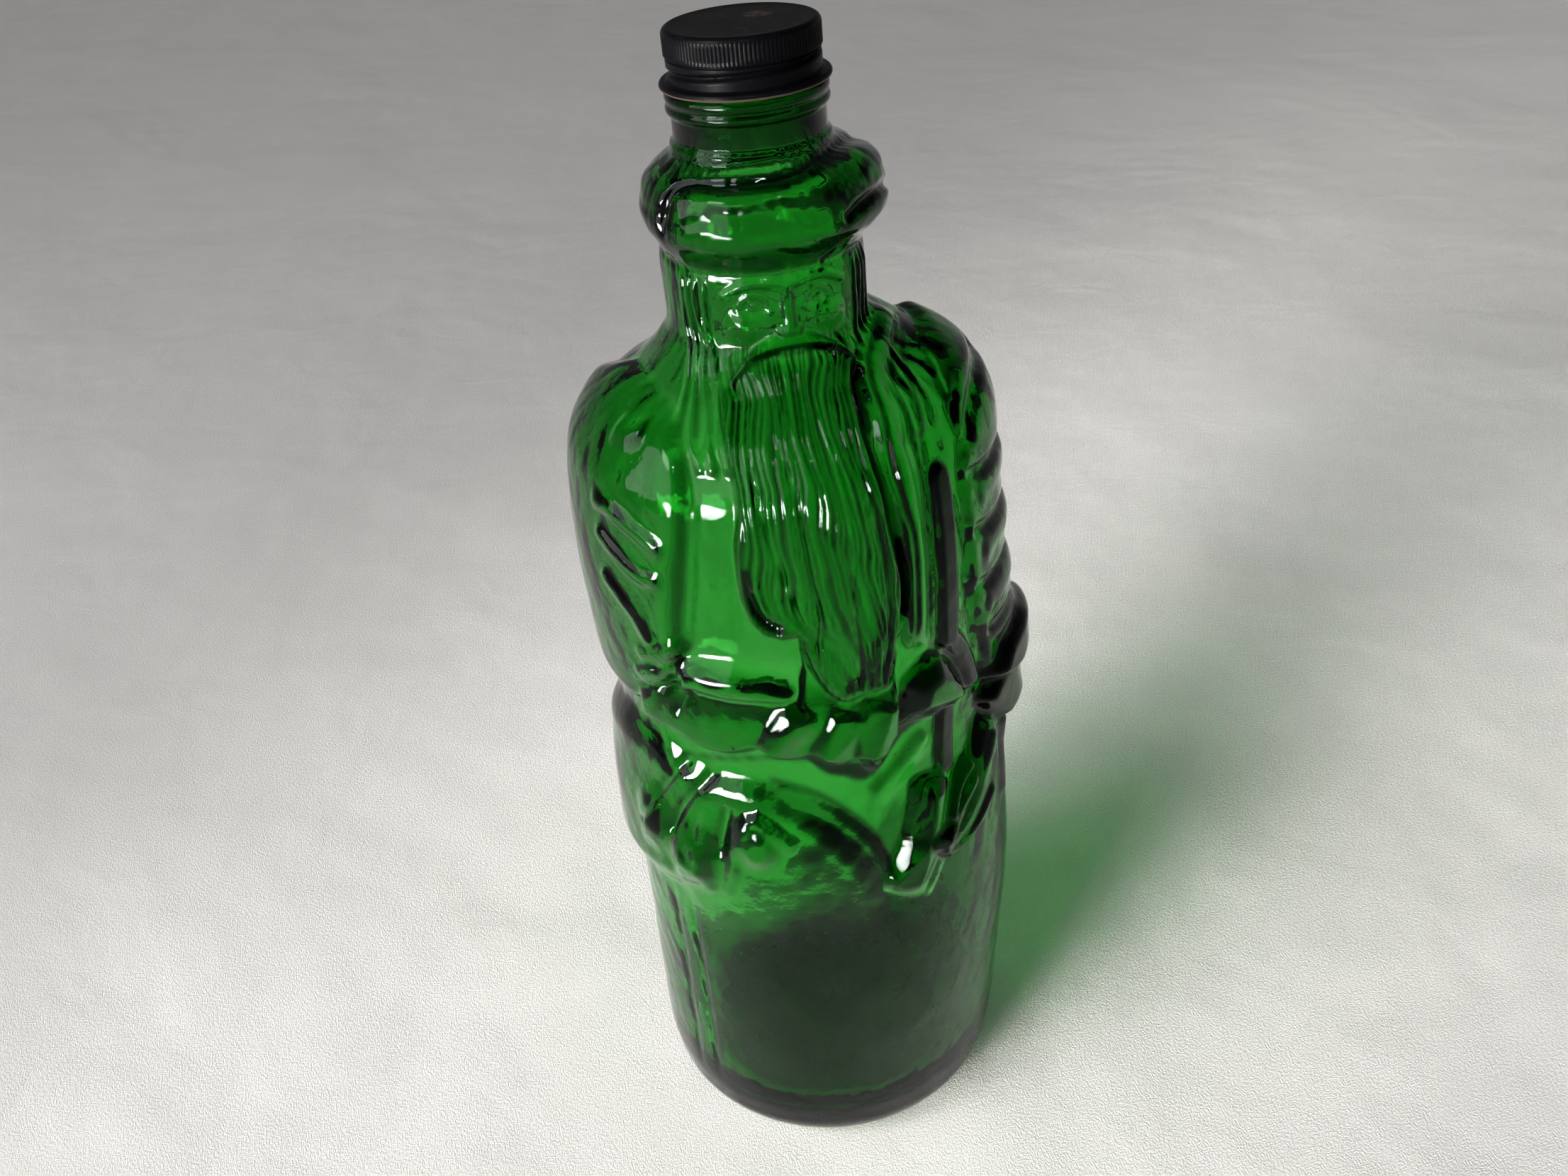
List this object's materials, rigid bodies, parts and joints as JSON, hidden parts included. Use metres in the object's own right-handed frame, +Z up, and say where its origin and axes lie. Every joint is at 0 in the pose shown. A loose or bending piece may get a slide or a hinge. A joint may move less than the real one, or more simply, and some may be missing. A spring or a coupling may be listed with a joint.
{
  "type": "figural glass bottle with a screw cap",
  "caption": "Moulded green glass bottle in the form of a bearded figure in a turban and robe, with a threaded neck and a lined black metal screw cap.",
  "frame": {"origin": "centre of the flat underside of the foot, on the axis of the neck", "axes": "+Z up the axis of the neck, -Y out of the figure's front, +X towards the figure's left arm"},
  "size_m": [0.1023, 0.0935, 0.27],
  "materials": {
    "green_glass": "glossy moulded bottle glass with soft waves and small seed bubbles",
    "black_lacquer": "satin black lacquer on pressed sheet steel, worn bare on the curled edge",
    "pulp_board": "matt pressed pulp board",
    "pale_facing": "smooth coated facing"
  },
  "bodies": {
    "bottle": {"glass_bottle": "green_glass"},
    "liner": {"liner_backing": "pulp_board", "liner_facing": "pale_facing"},
    "cap": {"cap_shell": "black_lacquer"}
  },
  "joints": [
    {"name": "cap_lift", "type": "slide", "parent": "bottle", "child": "liner", "axis": [0, 0, 1], "range_m": [0, 0.0127]},
    {"name": "cap_turn", "type": "hinge", "parent": "liner", "child": "cap", "pos_m": [0, 0, 0.26755], "axis": [0, 0, 1], "range_deg": [0, 1080]}
  ],
  "couplings": [
    {"joint": "cap_lift", "follows": "cap_turn", "m_per_rad": 0.0006737}
  ]
}
